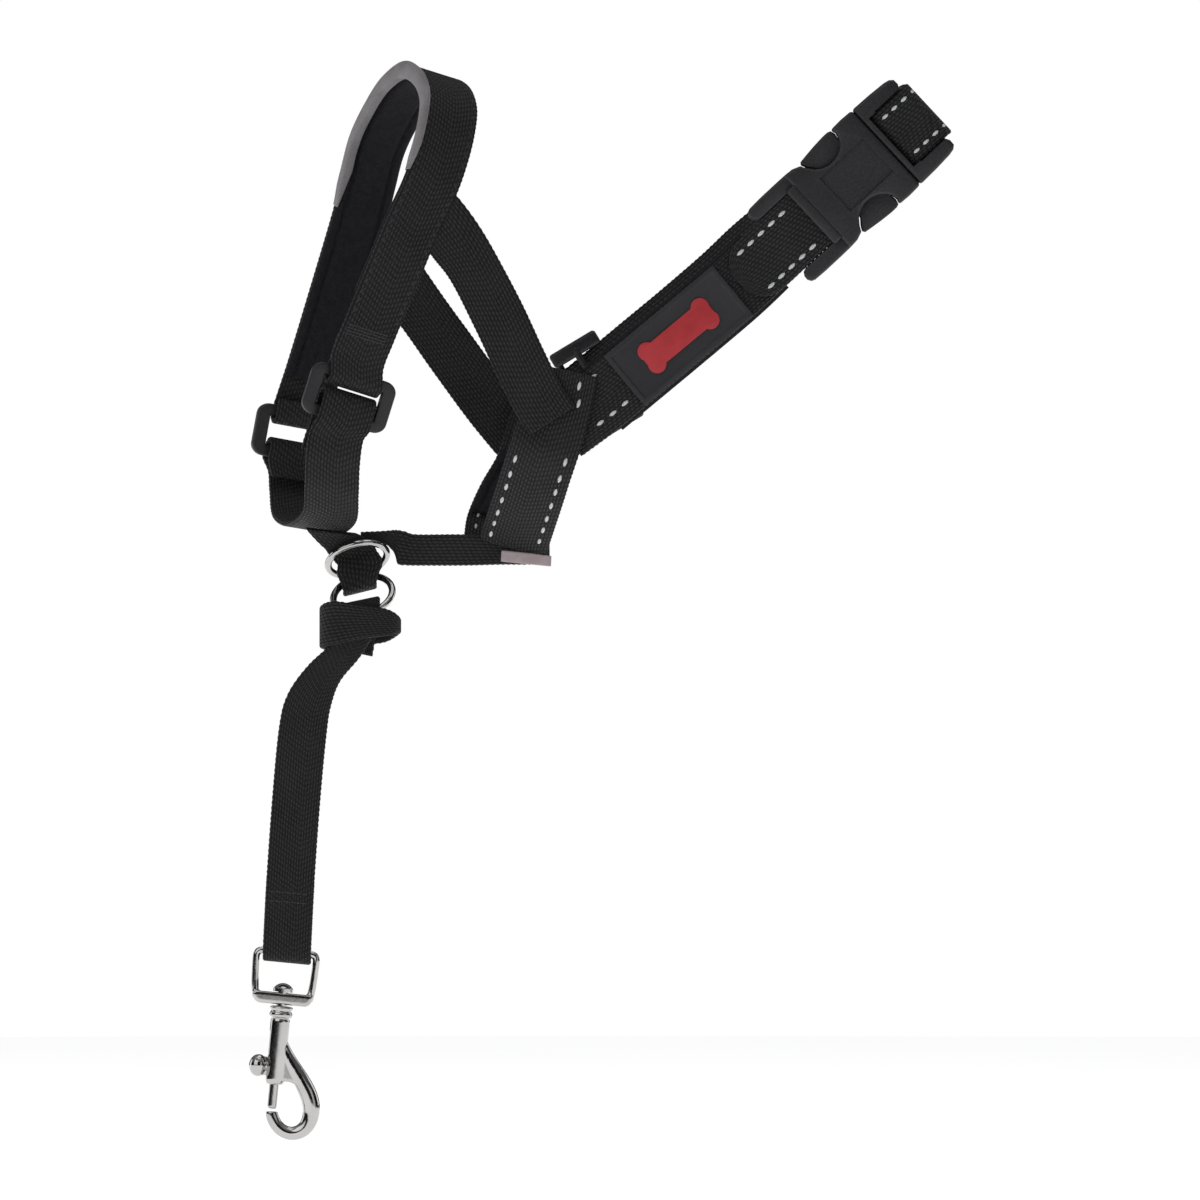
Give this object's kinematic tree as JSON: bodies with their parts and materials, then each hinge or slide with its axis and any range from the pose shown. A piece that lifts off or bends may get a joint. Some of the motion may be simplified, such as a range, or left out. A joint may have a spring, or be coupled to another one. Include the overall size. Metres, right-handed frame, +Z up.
{
  "type": "head halter",
  "caption": "Head halter for a dog: padded nose loop, cheek and throat straps, neck loop with side-release buckle, link rings and a safety strap ending in a swivel bolt snap.",
  "frame": {"origin": "middle of the muzzle opening, where the nose loop is held on the dog's muzzle", "axes": "+Z up as worn, +X back towards the neck, +Y from the near side to the far side"},
  "size_m": [0.2259, 0.0705, 0.345],
  "materials": {
    "webbing": "black woven polyester webbing, matt, with a fine rib",
    "reflective_trim": "soft silver-grey reflective binding",
    "neoprene": "black neoprene lining with a smooth jersey face",
    "label_cloth": "pale woven label tab, blank",
    "moulded_plastic": "black moulded nylon with a fine satin grain",
    "patch_rubber": "dark grey moulded rubber patch",
    "ring_chrome": "bright nickel-chrome plated steel wire",
    "snap_chrome": "bright chrome-plated zinc casting",
    "spring_steel": "drawn spring wire"
  },
  "bodies": {
    "halter": {"nose_webbing": "webbing", "nose_lining": "neoprene", "nose_binding": "reflective_trim", "chin_strap": "webbing", "chin_tab": "webbing", "cheek_strap_near": "webbing", "cheek_strap_far": "webbing", "throat_strap_near": "webbing", "throat_strap_far": "webbing", "throat_lining_near": "neoprene", "throat_lining_far": "neoprene", "throat_band": "webbing", "throat_loop": "webbing", "label_tab": "label_cloth", "neck_strap_near": "webbing", "neck_lining": "neoprene", "name_patch": "patch_rubber", "neck_strap_far": "webbing", "buckle_socket": "moulded_plastic"},
    "near_slider": {"nose_slider_near": "moulded_plastic"},
    "far_slider": {"nose_slider_far": "moulded_plastic"},
    "neck_slide": {"neck_slider": "moulded_plastic"},
    "chin_link": {"chin_ring": "ring_chrome"},
    "lead_link": {"lead_ring": "ring_chrome"},
    "plug": {"buckle_plug": "moulded_plastic", "plug_strap_wrap": "webbing"},
    "upper_prong": {"latch_prong_upper": "moulded_plastic"},
    "lower_prong": {"latch_prong_lower": "moulded_plastic"},
    "safety": {"safety_strap": "webbing", "hitch_band": "webbing"},
    "eye": {"swivel_eye": "snap_chrome"},
    "snap": {"snap_body": "snap_chrome", "swivel_rivet": "snap_chrome", "trigger_spring": "spring_steel"},
    "trigger": {"trigger_bolt": "snap_chrome"}
  },
  "joints": [
    {"name": "near_slider_tilt", "type": "hinge", "parent": "halter", "child": "near_slider", "pos_m": [-0.00449, -0.029, -0.02511], "axis": [0.91, 0.3, -0.286], "range_deg": [-4, 4]},
    {"name": "far_slider_tilt", "type": "hinge", "parent": "halter", "child": "far_slider", "pos_m": [-0.02259, 0.027, -0.03641], "axis": [0.9383, 0.2995, -0.1727], "range_deg": [-2, 2]},
    {"name": "neck_slider_travel", "type": "slide", "parent": "halter", "child": "neck_slide", "axis": [0.7705, 0, 0.6374], "range_m": [0, 0.022]},
    {"name": "chin_ring_swing", "type": "hinge", "parent": "halter", "child": "chin_link", "pos_m": [-0.00275, 0.00831, -0.08764], "axis": [0.9656, 0, 0.2599], "range_deg": [0, 16]},
    {"name": "lead_ring_swing", "type": "hinge", "parent": "halter", "child": "lead_link", "pos_m": [-0.00364, -0.00141, -0.08867], "axis": [0.9707, 0, 0.2402], "range_deg": [-10, 10]},
    {"name": "safety_strap_swing", "type": "hinge", "parent": "lead_link", "child": "safety", "pos_m": [-0.00076, -0.01639, -0.10033], "axis": [0.9707, 0, 0.2402], "range_deg": [-10, 10]},
    {"name": "swivel_eye_swing", "type": "hinge", "parent": "safety", "child": "eye", "pos_m": [-0.0264, -0.0116, -0.2086], "axis": [0.9954, 0, -0.0958], "range_deg": [-20, 20]},
    {"name": "snap_swivel", "type": "hinge", "parent": "eye", "child": "snap", "pos_m": [-0.02781, -0.0116, -0.22323], "axis": [0.0958, 0, 0.9954], "continuous": true},
    {"name": "trigger_pull", "type": "slide", "parent": "snap", "child": "trigger", "axis": [0.0958, 0, 0.9954], "range_m": [0, 0.007], "stiffness_N_per_m": 150, "springref_m": -0.003, "deforming": ["trigger_spring"]},
    {"name": "buckle_release", "type": "slide", "parent": "halter", "child": "plug", "axis": [0.7314, 0, 0.682], "range_m": [0, 0.026], "deforming": ["latch_prong_upper", "latch_prong_lower"]},
    {"name": "upper_prong_squeeze", "type": "hinge", "parent": "plug", "child": "upper_prong", "pos_m": [0.15882, -0.027, 0.05423], "axis": [0, -1, 0], "range_deg": [0, 14], "stiffness_Nm_per_rad": 0.3},
    {"name": "lower_prong_squeeze", "type": "hinge", "parent": "plug", "child": "lower_prong", "pos_m": [0.17042, -0.027, 0.0418], "axis": [0, 1, 0], "range_deg": [0, 14], "stiffness_Nm_per_rad": 0.3}
  ],
  "couplings": [
    {"joint": "lower_prong_squeeze", "follows": "upper_prong_squeeze", "ratio": 1}
  ]
}
